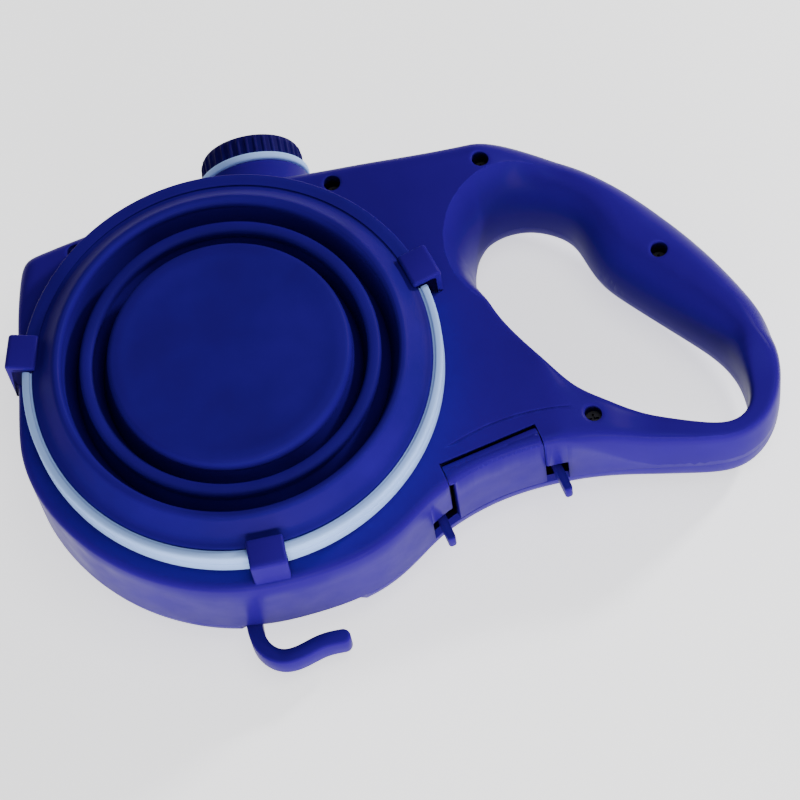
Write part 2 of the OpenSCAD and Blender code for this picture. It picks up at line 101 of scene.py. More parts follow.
# Outline of the housing, counter-clockwise from the nose; the reel end is an arc
NOSE = [[-51, 54.9], [-56.4, 53.2], [-59.2, 48.5], [-61.4, 36], [-63.4, 20], [-65.4, 3], [-66.6, -10]]
UNDERSIDE = [[27, -65], [40, -58.7], [50, -51.2], [60, -46.3], [72, -42.6], [86, -41], [100, -41.2],
             [114, -42.8], [128, -45], [140, -46.2], [149, -43.4]]
GRIP_BACK = [[156, -36], [160, -24], [160, -8], [156, 3.5], [149.5, 16.5], [140, 31], [128.5, 44.3],
             [116, 55], [105, 61.2], [94, 63.4], [80, 63.2]]
TOP_EDGE = [[64, 63.4], [48, 64], [32, 64.2], [16, 65.2], [0, 65.4], [-14, 63.4], [-30, 59.4], [-42, 57]]
REEL_END_R = 68.4
REEL_END = [[REEL_END_R * math.cos(math.radians(a)), REEL_END_R * math.sin(math.radians(a))]
            for a in range(200, 279, 13)]
HOLE = [[78.6, 7], [76.4, 20], [77, 31], [81, 40], [88, 44], [96, 44.2], [103.5, 41], [108.6, 36],
        [111.2, 28.5], [114.6, 20.5], [121, 12.7], [133, -0.2], [142, -10], [147, -18.5], [148.6, -28],
        [147, -36.5], [141, -40.2], [133, -39], [122, -35.2], [112, -30.8], [101, -24.4], [92.6, -16.2],
        [84.5, -4.6]]
DISH_CENTRE = np.array([95.0, 28.0])
DISH_R = 26.5
SCREWS = [[39, 57.5], [84.6, 56], [101.4, -33.3], [-41.4, 51.5], [132, 18.5]]
SCREW_R = 2.6
SCREW_DEPTH = 7.0
STEP_LINE = [[57.6, -36.3], [67.9, -32.3], [80.3, -30.1], [94.5, -30.6]]
HOOK_PIVOT = np.array(joint("hook_swing")["pos_m"][:2]) / MM
HOOK_PATH = [HOOK_PIVOT.tolist(), [-9.1, -68.5], [-7.8, -75.2], [-2.5, -79.6], [4, -78.6], [10, -76.1],
             [16.4, -76.2]]
HOOK_SLOT = [-12.5, 25.0]
CLIP_ANGLES = {"clip_left": 165.5, "clip_right": 17, "clip_bottom": 270.5}

# Bag compartment's frame: x runs along the wall, -y points outwards
DOOR_ORIGIN = np.array([70.5, -44.5])
DOOR_TURN = math.radians(12.7)
DOOR_HALF = 15.0
DOOR_GAP = 0.25
HINGE_Y = 4.6
HINGE_Z = joint("door_open")["pos_m"][2] / MM
NOTCH_OUT = 21.9
NOTCH_Z = 27.5
BUTTON = [46.0, 74.0]
BUTTON_Z = [17.0, 31.0]


# ---------------------------------------------------------------- curves and plane geometry
def spline(points, steps, closed=True):
    """A cubic B-spline through its points if closed, or near them if open."""
    p = np.array(points, float)
    n = len(p)
    if closed:
        c = p - (np.roll(p, 1, 0) - 2 * p + np.roll(p, -1, 0)) / 6
        quads = [(c[i - 1], c[i], c[(i + 1) % n], c[(i + 2) % n]) for i in range(n)]
    else:
        quads = [(p[max(i - 1, 0)], p[i], p[i + 1], p[min(i + 2, n - 1)]) for i in range(n - 1)]
    out = []
    for a, b, c1, d in quads:
        for t in np.arange(steps) / steps:
            out.append(((1 - t) ** 3 * a + (3 * t ** 3 - 6 * t * t + 4) * b
                        + (-3 * t ** 3 + 3 * t * t + 3 * t + 1) * c1 + t ** 3 * d) / 6)
    if not closed:
        out.append(p[-1])
    return np.array(out)


def resample(line, spacing, closed=True):
    """Points at an even spacing along a polyline."""
    pts = np.vstack([line, line[:1]]) if closed else line
    s = np.concatenate([[0], np.cumsum(np.linalg.norm(np.diff(pts, axis=0), axis=1))])
    count = max(4, int(round(s[-1] / spacing)))
    at = np.linspace(0, s[-1], count, endpoint=False) if closed else np.linspace(0, s[-1], count)
    return np.stack([np.interp(at, s, pts[:, k]) for k in (0, 1)], 1)


def normals(line, closed=True):
    """Left-hand normals of a polyline."""
    if closed:
        d = np.roll(line, -1, 0) - np.roll(line, 1, 0)
    else:
        d = np.gradient(line, axis=0)
    d /= np.linalg.norm(d, axis=1)[:, None]
    return np.stack([-d[:, 1], d[:, 0]], 1)


def distance(p, line, closed=True):
    """Distance of each point p to a polyline."""
    a = line if closed else line[:-1]
    b = np.roll(line, -1, 0) if closed else line[1:]
    ab = b - a
    best = np.full(len(p), np.inf)
    for start in range(0, len(p), 4000):
        q = p[start:start + 4000]
        ap = q[:, None] - a[None]
        t = np.clip((ap * ab).sum(2) / (ab * ab).sum(1), 0, 1)
        best[start:start + 4000] = np.linalg.norm(ap - t[:, :, None] * ab, axis=2).min(1)
    return best


def inside(p, line):
    """Whether each point lies inside a closed polyline."""
    hit = np.zeros(len(p), bool)
    b = np.roll(line, -1, 0)
    for (x0, y0), (x1, y1) in zip(line, b):
        if y0 != y1:
            cross = (y0 > p[:, 1]) != (y1 > p[:, 1])
            hit ^= cross & (p[:, 0] < (x1 - x0) * (p[:, 1] - y0) / (y1 - y0) + x0)
    return hit


def smooth(a, b, x):
    """0 at a and 1 at b, eased at both ends."""
    t = np.clip((x - a) / (b - a), 0, 1)
    return t * t * (3 - 2 * t)


def shoulder(d, r):
    """Drop of a quarter-round edge of radius r at distance d from the edge."""
    t = np.clip(1 - d / r, 0, 1)
    return r * (1 - np.sqrt(1 - t * t))


def tube(u, n):
    """Height of a superellipse of exponent n across -1..1."""
    return (1 - np.clip(np.abs(u), 0, 1) ** n) ** (1 / n)


def to_door(p):
    """Plane points in the bag compartment's frame."""
    d = np.asarray(p, float)[..., :2] - DOOR_ORIGIN
    c, s = math.cos(DOOR_TURN), math.sin(DOOR_TURN)
    return np.stack([d[..., 0] * c + d[..., 1] * s, -d[..., 0] * s + d[..., 1] * c], -1)


def from_door(p):
    """Plane points of the bag compartment's frame in the part's frame."""
    p = np.asarray(p, float)
    c, s = math.cos(DOOR_TURN), math.sin(DOOR_TURN)
    return np.stack([p[..., 0] * c - p[..., 1] * s, p[..., 0] * s + p[..., 1] * c], -1) + DOOR_ORIGIN


def rounded(points, radii, steps=5, closed=True):
    """A polyline with its corners rounded; a radius of 0 keeps the corner."""
    p = [np.array(q, float) for q in points]
    n = len(p)
    out = []
    for i, (q, r) in enumerate(zip(p, radii)):
        if r == 0 or (not closed and i in (0, n - 1)):
            out.append(q)
            continue
        a, b = p[i - 1] - q, p[(i + 1) % n] - q
        la, lb = np.linalg.norm(a), np.linalg.norm(b)
        start, end = q + a / la * min(r, la / 2), q + b / lb * min(r, lb / 2)
        for t in np.linspace(0, 1, steps + 1):
            out.append((1 - t) ** 2 * start + 2 * t * (1 - t) * q + t * t * end)
    return np.array(out)


# ---------------------------------------------------------------- mesh pieces
def piece(name, verts, faces, body, slot, replaces=(), angle=32):
    """A mesh object in its slot's material, from points in millimetres, that rides on a body if given."""
    mesh = bpy.data.meshes.new(name)
    mesh.from_pydata([Vector(v) * MM for v in verts], [], [tuple(int(i) for i in f) for f in faces])
    mesh.validate()
    mesh.update()
    mesh.shade_smooth()
    mesh.set_sharp_from_angle(angle=math.radians(angle))
    mesh.materials.append(MATERIALS[slot])
    obj = bpy.data.objects.new(name, mesh)
    bpy.context.scene.collection.objects.link(obj)
    if body:
        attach(obj, body)
    if replaces:
        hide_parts(*replaces)
    return obj


def lathe(profile, segments=192, wave=None):
    """Points and faces of a closed profile (r, z) turned about the Z axis. wave(a, r, z) adds to r."""
    verts, faces = [], []
    n = len(profile)
    for i in range(segments):
        a = 2 * math.pi * i / segments
        for r, z in profile:
            k = r + (wave(a, r, z) if wave else 0)
            verts.append((k * math.cos(a), k * math.sin(a), z))
    for i in range(segments):
        j = (i + 1) % segments
        for k in range(n):
            m = (k + 1) % n
            faces.append((i * n + k, j * n + k, j * n + m, i * n + m))
    return verts, faces


def swept(profile, start, end, steps=120):
    """Points and faces of a closed profile (r, z) turned about the Z axis between two angles, in degrees."""
    n = len(profile)
    verts = []
    for a in np.radians(np.linspace(start, end, steps + 1)):
        verts += [(r * math.cos(a), r * math.sin(a), z) for r, z in profile]
    faces = [(i * n + k, (i + 1) * n + k, (i + 1) * n + (k + 1) % n, i * n + (k + 1) % n)
             for i in range(steps) for k in range(n)]
    return verts, [*faces, tuple(range(n)), tuple(range((steps + 1) * n - 1, steps * n - 1, -1))]


def disc(profile, segments=192):
    """Points and faces of an open profile from the axis out and back to it, turned about the Z axis."""
    verts, faces = [], []
    first, last, ring = profile[0], profile[-1], profile[1:-1]
    n = len(ring)
    for i in range(segments):
        a = 2 * math.pi * i / segments
        verts += [(r * math.cos(a), r * math.sin(a), z) for r, z in ring]
    bottom, top = len(verts), len(verts) + 1
    verts += [(0, 0, first[1]), (0, 0, last[1])]
    for i in range(segments):
        j = (i + 1) % segments
        faces.append((bottom, j * n, i * n))
        for k in range(n - 1):
            faces.append((i * n + k, j * n + k, j * n + k + 1, i * n + k + 1))
        faces.append((i * n + n - 1, j * n + n - 1, top))
    return verts, faces


def prism(outline, z0, z1, edge=0.5, steps=3):
    """Points and faces of an outline extruded from z0 to z1 with rounded edges."""
    left = normals(outline)
    rings = []
    for k in range(steps + 1):
        t = k / steps * math.pi / 2
        rings.append((edge * (1 - math.sin(t)), z0 + edge * (1 - math.cos(t))))
    rings += [(i, z0 + z1 - z) for i, z in reversed(rings)]
    verts, n = [], len(outline)
    for inset, z in rings:
        verts += [(x, y, z) for x, y in outline + left * inset]
    faces = [tuple(range(n - 1, -1, -1))]
    for r in range(len(rings) - 1):
        for i in range(n):
            j = (i + 1) % n
            faces.append((r * n + i, r * n + j, (r + 1) * n + j, (r + 1) * n + i))
    faces.append(tuple(range((len(rings) - 1) * n, len(rings) * n)))
    return verts, faces


def moved(shape, matrix):
    """A (points, faces) pair with its points taken through a 4x4 matrix."""
    verts, faces = shape
    return [tuple(matrix @ Vector(v)) for v in verts], faces


def joined(*shapes):
    """Several (points, faces) pairs as one."""
    verts, faces = [], []
    for v, f in shapes:
        faces += [tuple(i + len(verts) for i in face) for face in f]
        verts += list(v)
    return verts, faces


def ribbon(path, width):
    """Outline of a strip along an open path with round ends, counter-clockwise."""
    side = normals(path, closed=False) * width / 2
    right, left = path - side, path + side
    caps = []
    for end, start in ((path[-1], right[-1]), (path[0], left[0])):
        a0 = math.atan2(*(start - end)[::-1])
        caps.append([end + width / 2 * np.array([math.cos(a0 + t), math.sin(a0 + t)])
                     for t in np.linspace(0, math.pi, 12)[1:-1]])
    return np.vstack([right, caps[0], left[::-1], caps[1]])


DOOR_FRAME = Matrix.Translation((*DOOR_ORIGIN, 0)) @ Matrix.Rotation(DOOR_TURN, 4, "Z")
ALONG_NECK = Matrix.Translation((NECK[0], 0, NECK[1])) @ Matrix.Rotation(-math.pi / 2, 4, "X")


# ---------------------------------------------------------------- materials
class Nodes:
    """A short way to write a material's node tree."""

    def __init__(self, name):
        self.material = bpy.data.materials.new(name)
        self.material.use_nodes = True
        self.tree = self.material.node_tree
        self.shader = self.tree.nodes["Principled BSDF"]
        self.place = self.add("ShaderNodeTexCoord").outputs["Object"]

    def add(self, kind, **settings):
        node = self.tree.nodes.new(kind)
        for key, value in settings.items():
            setattr(node, key, value)
        return node

    def link(self, source, target):
        if isinstance(source, (int, float, tuple)):
            target.default_value = source
        else:
            self.tree.links.new(source, target)

    def noise(self, scale, detail=3.0, stretch=(1, 1, 1), roughness=0.5):
        mapping = self.add("ShaderNodeMapping")
        mapping.inputs["Scale"].default_value = stretch
        self.link(self.place, mapping.inputs["Vector"])
        node = self.add("ShaderNodeTexNoise")
        node.inputs["Scale"].default_value = scale
        node.inputs["Detail"].default_value = detail
        node.inputs["Roughness"].default_value = roughness
        self.link(mapping.outputs["Vector"], node.inputs["Vector"])
        return node.outputs["Fac"]

    def spread(self, value, from_low, from_high, to_low, to_high):
        node = self.add("ShaderNodeMapRange")
        limits = {"From Min": from_low, "From Max": from_high, "To Min": to_low, "To Max": to_high}
        for key, number in limits.items():
            node.inputs[key].default_value = number
        self.link(value, node.inputs["Value"])
        return node.outputs["Result"]

    def math(self, operation, a, b):
        node = self.add("ShaderNodeMath", operation=operation)
        self.link(a, node.inputs[0])
        self.link(b, node.inputs[1])
        return node.outputs[0]

    def mix(self, factor, a, b):
        node = self.add("ShaderNodeMix", data_type="RGBA")
        self.link(factor, node.inputs["Factor"])
        for source, socket in ((a, node.inputs[6]), (b, node.inputs[7])):
            if isinstance(source, tuple):
                socket.default_value = (*source, 1)
            else:
                self.link(source, socket)
        return node.outputs[2]

    def edges(self, radius):
        """1 on sharp edges, 0 on flat stretches: how far a rounded normal turns from the true one."""
        bevel = self.add("ShaderNodeBevel", samples=4)
        bevel.inputs["Radius"].default_value = radius
        geometry = self.add("ShaderNodeNewGeometry")
        dot = self.add("ShaderNodeVectorMath", operation="DOT_PRODUCT")
        self.link(bevel.outputs["Normal"], dot.inputs[0])
        self.link(geometry.outputs["Normal"], dot.inputs[1])
        return self.spread(dot.outputs["Value"], 0.995, 0.93, 0, 1)

    def bump(self, height, strength, distance, normal=None):
        node = self.add("ShaderNodeBump")
        node.inputs["Strength"].default_value = strength
        node.inputs["Distance"].default_value = distance
        self.link(height, node.inputs["Height"])
        if normal:
            self.link(normal, node.inputs["Normal"])
        return node.outputs["Normal"]

    def finish(self, color, roughness, normal, **inputs):
        self.link(color, self.shader.inputs["Base Color"])
        self.link(roughness, self.shader.inputs["Roughness"])
        self.link(normal, self.shader.inputs["Normal"])
        for key, value in inputs.items():
            self.shader.inputs[key.replace("_", " ")].default_value = value
        return self.material


def moulded(name, color, worn, roughness=0.34, grain=0.00002, scuffs=True):
    """Moulded plastic: faint colour drift, fine grain, flow lines, rubbed edges and a few scuffs."""
    n = Nodes(name)
    drift = n.noise(28, 4)
    darker, lighter = (tuple(min(1, c * k) for c in color) for k in (0.9, 1.08))
    base = n.mix(n.spread(drift, 0.3, 0.7, 0, 1), darker, lighter)
    rub = n.math("MULTIPLY", n.edges(0.0007), n.spread(n.noise(260, 5), 0.42, 0.72, 0, 0.55))
    base = n.mix(rub, base, worn)
    surface = n.spread(n.noise(90, 6), 0.3, 0.7, roughness - 0.05, roughness + 0.07)
    if scuffs:
        streak = n.spread(n.noise(120, 8, (1, 9, 4), 0.65), 0.70, 0.78, 0, 1)
        patch = n.spread(n.noise(17, 2), 0.56, 0.68, 0, 1)
        mark = n.math("MULTIPLY", streak, patch)
        base = n.mix(n.math("MULTIPLY", mark, 0.30), base, (0.20, 0.18, 0.65))
        surface = n.math("ADD", surface, n.math("MULTIPLY", mark, 0.2))
    surface = n.math("ADD", surface, n.math("MULTIPLY", rub, 0.12))
    flow = n.bump(n.noise(45, 2, (1, 3, 1)), 0.12, 0.0004)
    normal = n.bump(n.noise(2600, 2), 0.35, grain, flow)
    return n.finish(base, surface, normal, IOR=1.18, Specular_IOR_Level=0.12)


def silicone(name, color):
    """Soft silicone: dusty, with a faint colour drift and fine matte grain."""
    n = Nodes(name)
    darker, lighter = (tuple(min(1, c * k) for c in color) for k in (0.86, 1.12))
    base = n.mix(n.spread(n.noise(40, 4), 0.3, 0.7, 0, 1), darker, lighter)
    dust = n.spread(n.noise(900, 3), 0.66, 0.80, 0, 0.04)
    base = n.mix(dust, base, (0.06, 0.05, 0.30))
    surface = n.spread(n.noise(70, 5), 0.3, 0.7, 0.50, 0.62)
    normal = n.bump(n.noise(1800, 3), 0.3, 0.00004)
    return n.finish(base, surface, normal, IOR=1.12)


def metal(name, color, roughness, brushed=(1, 1, 40)):
    """Plated or bright metal with brush lines and faint stains."""
    n = Nodes(name)
    lines = n.noise(300, 4, brushed)
    base = n.mix(n.spread(n.noise(60, 4), 0.35, 0.7, 0, 1), color, tuple(c * 0.78 for c in color))
    surface = n.spread(lines, 0.3, 0.7, roughness - 0.08, roughness + 0.10)
    return n.finish(base, surface, n.bump(lines, 0.25, 0.00003), Metallic=1.0)


def woven(name, color):
    """Flat woven tape: two crossing wave patterns for warp and weft."""
    n = Nodes(name)
    waves = []
    for direction in ("X", "Z"):
        wave = n.add("ShaderNodeTexWave", bands_direction=direction)
        wave.inputs["Scale"].default_value = 420
        wave.inputs["Distortion"].default_value = 0.6
        n.link(n.place, wave.inputs["Vector"])
        waves.append(wave.outputs["Fac"])
    weave = n.math("MULTIPLY", waves[0], waves[1])
    base = n.mix(weave, tuple(c * 0.5 for c in color), color)
    return n.finish(base, 0.75, n.bump(weave, 0.6, 0.0002), Sheen_Weight=0.4)


def milky(name, color):
    """Blow-moulded polyethylene: milky, faintly see-through, with soft flow marks."""
    n = Nodes(name)
    base = n.mix(n.spread(n.noise(30, 4), 0.3, 0.7, 0, 1), color, tuple(c * 0.93 for c in color))
    surface = n.spread(n.noise(80, 4), 0.3, 0.7, 0.32, 0.45)
    return n.finish(base, surface, n.bump(n.noise(50, 3, (1, 3, 1)), 0.2, 0.0003), Subsurface_Weight=0.15,
                    Subsurface_Scale=0.004)


BLUE = (0.019, 0.0004, 0.18)
MATERIALS = {
    "blue_case": moulded("case_blue", BLUE, (0.04, 0.01, 0.34)),
    "cap_blue": moulded("cap_blue", (0.008, 0.001, 0.075), (0.02, 0.01, 0.2), 0.46, scuffs=False),
    "bowl_silicone": silicone("bowl_silicone", (0.015, 0.0004, 0.16)),
    "pale_plastic": moulded("rim_pale", (0.34, 0.52, 1.00), (0.60, 0.75, 1.00), scuffs=False),
    "inner_plastic": moulded("inner_black", (0.018, 0.018, 0.022), (0.08, 0.08, 0.09), 0.5, scuffs=False),
    # Steel's colour is set far darker than plated steel really is: painted shade, so the screw heads down in
    # their recesses and the pins read dark.
    "steel": metal("steel_dark_painted_shade", (0.045, 0.045, 0.055), 0.5),
    "spring_steel": metal("spring_steel", (0.40, 0.41, 0.43), 0.28, (40, 1, 1)),
    "bush_brass": metal("bush_brass", (0.72, 0.50, 0.22), 0.3),
    "tape": woven("tape_weave", (0.02, 0.02, 0.30)),
    "bottle_white": milky("bottle_milky", (0.80, 0.83, 0.86)),
    "liner_rubber": silicone("liner_rubber", (0.70, 0.70, 0.66)),
}
for row in frame["record"]["subparts"]:
    cad = frame["nodes"][row["node"]]
    cad.data.materials.clear()
    cad.data.materials.append(MATERIALS[row["material_slot"]])


# ---------------------------------------------------------------- housing shells
OUTER = resample(spline(NOSE + REEL_END + UNDERSIDE + GRIP_BACK + TOP_EDGE, 10), 1.5)
INNER = resample(spline(HOLE, 10), 1.4)


def dish_cut(p):
    """1 on the full-height body, 0 on the handle loop, with a crisp cove at the dish."""
    x, y = p.T
    t = np.clip((DISH_R - np.linalg.norm(p - DISH_CENTRE, axis=1)) / 7.5, 0, 1)
    cove = (1 - t) ** 2.2
    cove += (1 - cove) * smooth(32, 2, y) * smooth(94, 84, x)
    ease = np.where(y > 0, 1 - smooth(82, 110, x), 1 - smooth(88, 120, x))
    return cove * ease


def across(p, d_out, d_hole):
    """Place across the handle loop's section, -1 at its outer edge and 1 at the hole."""
    inside_dish = DISH_R - np.linalg.norm(p - DISH_CENTRE, axis=1)
    limit = 9 + np.clip(inside_dish, 0, None) + 100 * smooth(80, 96, p[:, 0])
    d_out = np.minimum(d_out, limit)
    return (d_out - d_hole) / (d_out + d_hole)


def guard(p):
    """1 on the loop's thin lower limb, 0 on the round grip."""
    x, y = p.T
    return smooth(-12, -30, y) * smooth(92, 108, x)


def front_height(p):
    """Height of the front surface at plane points."""
    x, y = p.T
    d_out, d_hole = distance(p, OUTER), distance(p, INNER)
    body = FACE_Z - shoulder(d_out, 2.4 + 2.8 * smooth(30, 52, y)) - shoulder(d_hole, 1.6)
    body -= 0.35 * smooth(0.6, 0.0, distance(p, LINE, closed=False)) * (y < 0)
    low_limb = guard(p)
    crest = 36 + low_limb * (1.0 - 0.085 * (x - 115))
    loop = SPLIT_Z + (crest - SPLIT_Z) * tube(across(p, d_out, d_hole), 2.1 + 4.4 * low_limb)
    return np.maximum(loop + (body - loop) * dish_cut(p), SPLIT_Z + 0.06)


def back_height(p):
    """Height of the back surface at plane points."""
    d_out, d_hole = distance(p, OUTER), distance(p, INNER)
    turn = np.clip(1 - np.minimum(d_out, d_hole * 1.6) / 18, 0, 1)
    body = SPLIT_Z - SPLIT_Z * np.sqrt(1 - turn ** 2)
    loop = SPLIT_Z - (SPLIT_Z - 6) * tube(across(p, d_out, d_hole), 2.3)
    return np.minimum(loop + (body - loop) * dish_cut(p), SPLIT_Z - 0.06)


LINE = resample(spline(STEP_LINE, 8, closed=False), 0.9, closed=False)


def triangulate(points, loops):
    """Points and triangles of the plane region inside the first loop and outside the others."""
    edges, start = [], 0
    for loop in loops:
        n = len(loop)
        edges += [(start + i, start + (i + 1) % n) for i in range(n)]
        start += n
    cloud = [Vector(p) for p in np.vstack([*loops, points])]
    verts, _, faces, _, _, _ = delaunay_2d_cdt(cloud, edges, [], 0, 1e-5)
    verts = np.array(verts)
    faces = np.array(faces)
    middle = verts[faces].mean(1)
    keep = inside(middle, loops[0])
    for loop in loops[1:]:
        keep &= ~inside(middle, loop)
    faces = faces[keep]
    a, b, c = (verts[faces[:, k]] for k in range(3))
    flip = (b[:, 0] - a[:, 0]) * (c[:, 1] - a[:, 1]) < (b[:, 1] - a[:, 1]) * (c[:, 0] - a[:, 0])
    faces[flip] = faces[flip][:, ::-1]
    return verts, faces


def circle(centre, r, count):
    """Points round a circle."""
    a = np.linspace(0, 2 * math.pi, count, endpoint=False)
    return np.array(centre) + r * np.stack([np.cos(a), np.sin(a)], 1)


def sample_cloud(loops, insets, grid, extra=()):
    """Points for a surface: rings inside the housing's edges, a grid between them, and extra curves."""
    rings = []
    for line in (OUTER, INNER):
        side = normals(line)
        for inset in insets:
            ring = line + side * inset
            near = np.minimum(distance(ring, OUTER), distance(ring, INNER))
            rings.append(ring[near > inset * 0.94])
    lo, hi = OUTER.min(0), OUTER.max(0)
    xs, ys = np.meshgrid(np.arange(lo[0], hi[0], grid), np.arange(lo[1], hi[1], grid * 0.87))
    xs[::2] += grid / 2
    cells = np.stack([xs.ravel(), ys.ravel()], 1)
    near = np.minimum(distance(cells, OUTER), distance(cells, INNER))
    cells = cells[near > insets[-1] + 0.8]
    for curve_points in extra:
        cells = cells[distance(cells, curve_points, closed=False) > 0.8]
    cloud = np.vstack([*rings, *extra, cells])
    ok = inside(cloud, loops[0])
    for loop in loops[1:]:
        ok &= ~inside(cloud, loop)
    cloud = cloud[ok]
    for loop in loops:
        cloud = cloud[distance(cloud, loop) > 0.06]
    return cloud


def border_edges(faces):
    """Directed edges that only one face has."""
    seen = {}
    for face in faces:
        for a, b in zip(face, np.roll(face, -1)):
            seen[(a, b)] = True
    return [(a, b) for a, b in seen if (b, a) not in seen]


def skirt(verts, edges, bottoms):
    """Quads hung from border edges down, or up, to a height for each edge; None leaves an edge bare."""
    extra, faces, made = [], [], {}

    def point(i, z):
        key = (i, round(z, 3))
        if key not in made:
            made[key] = len(verts) + len(extra)
            extra.append((verts[i][0], verts[i][1], z))
        return made[key]

    for (a, b), z in zip(edges, bottoms):
        if z is not None:
            faces.append((b, a, point(a, z), point(b, z)))
    return extra, faces


def cut_outline(loop, box_low, box_high):
    """The loop with a rectangle of the door's frame cut out of its edge, as one closed loop."""
    local = to_door(loop)
    within = (local[:, 0] > box_low[0]) & (local[:, 0] < box_high[0]) & (local[:, 1] < box_high[1])
    within &= local[:, 1] > box_low[1]
    first = np.flatnonzero(within & ~np.roll(within, 1))[0]
    count = within.sum()
    kept = np.roll(loop, -(first + count), 0)[:len(loop) - count]

    def crossing(x):
        order = np.argsort(local[within][:, 0])
        return np.interp(x, local[within][order, 0], local[within][order, 1])

    step = 0.9
    left = np.arange(crossing(box_low[0]), box_high[1], step)
    top = np.arange(box_low[0], box_high[0], step)
    right = np.arange(box_high[1], crossing(box_high[0]), -step)
    notch = [(box_low[0], y) for y in left]
    notch += [(x, box_high[1]) for x in top]
    notch += [(box_high[0], y) for y in right]
    notch.append((box_high[0], crossing(box_high[0])))
    return np.vstack([kept, from_door(notch)])


def front_bottom(mid):
    """Height that the front shell's border reaches down to at a plane point."""
    for centre in SCREWS:
        if np.linalg.norm(mid - centre) < SCREW_R + 0.2:
            return float(front_height(np.array([centre]))[0]) - SCREW_DEPTH
    x, y = to_door(mid)
    if abs(x) < DOOR_HALF + DOOR_GAP + 0.05 and -6 < y < HINGE_Y + 3:
        return FACE_Z - WALL if y > HINGE_Y + 2.3 else NOTCH_Z
    if DOOR_HALF < abs(x) < NOTCH_OUT and -6 < y < 5:
        return NOTCH_Z
    if BUTTON[0] - 0.3 < mid[0] < BUTTON[1] + 0.3 and mid[1] > 60:
        return BUTTON_Z[1] + 0.3
    return SPLIT_Z


def make_front():
    """The front shell: face, dish, handle loop, walls, notches and screw recesses."""
    reach = DOOR_HALF + DOOR_GAP
    outer = cut_outline(OUTER, (-reach, -9), (reach, HINGE_Y + 2.4))
    holes = [circle(s, SCREW_R, 28) for s in SCREWS]
    loops = [outer, INNER, *holes]
    dish = [circle(DISH_CENTRE, DISH_R + d, 170) for d in (0.5, 0, -0.4, -0.9, -1.6, -2.6, -3.9, -5.5)]
    side = normals(LINE, closed=False)
    line_rings = [LINE + side * d for d in (-0.9, -0.55, -0.25, 0, 0.25, 0.55, 0.9)]
    screw_rings = [circle(s, SCREW_R + d, 28) for s in SCREWS for d in (0.35, 1.0)]
    insets = (0.1, 0.3, 0.6, 1.0, 1.5, 2.1, 2.8, 3.7, 4.8, 6.2, 7.8)
    cloud = sample_cloud(loops, insets, 2.3, [*dish, *line_rings, *screw_rings])
    flat, faces = triangulate(cloud, loops)
    z = front_height(flat)
    for centre in SCREWS:
        z -= 0.25 * smooth(SCREW_R + 0.5, SCREW_R, np.linalg.norm(flat - centre, axis=1))
    verts = [tuple(v) for v in np.column_stack([flat, z])]
    edges = border_edges(faces)
    bottoms = [front_bottom(flat[[a, b]].mean(0)) for a, b in edges]
    extra, quads = skirt(verts, edges, bottoms)
    shell = piece("front_case", verts + extra, [*faces, *quads], "housing", "blue_case",
                  ["front_shell"])
    at = np.array(verts + extra)[:, :2]
    thicken(shell, np.min([np.linalg.norm(at - s, axis=1) for s in SCREWS], 0) < SCREW_R + 0.1)


def thicken(obj, thin=None):
    """Gives an open surface the wall's thickness inwards, and a thin skin at the points marked thin."""
    solid = obj.modifiers.new("wall", "SOLIDIFY")
    solid.thickness = WALL * MM
    solid.offset = -1
    solid.use_even_offset = False
    if thin is not None:
        group = obj.vertex_groups.new(name="wall")
        group.add(np.flatnonzero(~thin).tolist(), 1.0, "REPLACE")
        solid.vertex_group = group.name
        solid.thickness_vertex_group = 0.05


def make_back():
    """The back shell: curved back, handle loop and the hook's slot."""
    slot_in = 3.8
    local = (OUTER[:, 0] > HOOK_SLOT[0]) & (OUTER[:, 0] < HOOK_SLOT[1]) & (OUTER[:, 1] < -50)
    side = normals(OUTER)
    outer = OUTER + side * np.where(local, slot_in, 0)[:, None]
    insets = (0.05, 0.2, 0.5, 1.0, 1.7, 2.6, 3.8, 5.2, 7.0, 9.0, 11.5, 14.5)
    loops = [outer, INNER]
    flat, faces = triangulate(sample_cloud(loops, insets, 3.4), loops)
    faces = faces[:, ::-1]
    verts = [tuple(v) for v in np.column_stack([flat, back_height(flat)])]
    edges = border_edges(faces)
    bottoms = []
    for a, b in edges:
        mid = flat[[a, b]].mean(0)
        in_slot = HOOK_SLOT[0] < mid[0] < HOOK_SLOT[1] and mid[1] < -50
        in_slot = in_slot and distance(mid[None], OUTER)[0] > 1
        bottoms.append(None if in_slot else SPLIT_Z)
    extra, quads = skirt(verts, edges, bottoms)
    shell = piece("back_case", verts + extra, [*faces, *quads], "housing", "blue_case",
                  ["back_shell"])
    # Thin skin beside the slot, where the folded hook lies
    at = np.array(verts + extra)
    radius, angle = np.hypot(at[:, 0], at[:, 1]), np.degrees(np.arctan2(at[:, 1], at[:, 0])) % 360
    thicken(shell, (radius > 44) & (radius < 67) & (angle > 246) & (angle < 300))
    # Pocket behind the slot
    arc = [math.radians(a) for a in np.linspace(250, 296, 24)]
    section = ((64.4, 6.2), (45.6, 6.2), (45.6, 16.0))
    rows = [[(r * math.cos(a), r * math.sin(a), z) for a in arc] for r, z in section]
    n = len(arc)
    floor = [(r * n + i, r * n + i + 1, (r + 1) * n + i + 1, (r + 1) * n + i)
             for r in range(2) for i in range(n - 1)]
    piece("hook_pocket", sum(rows, []), floor, "housing", "blue_case")


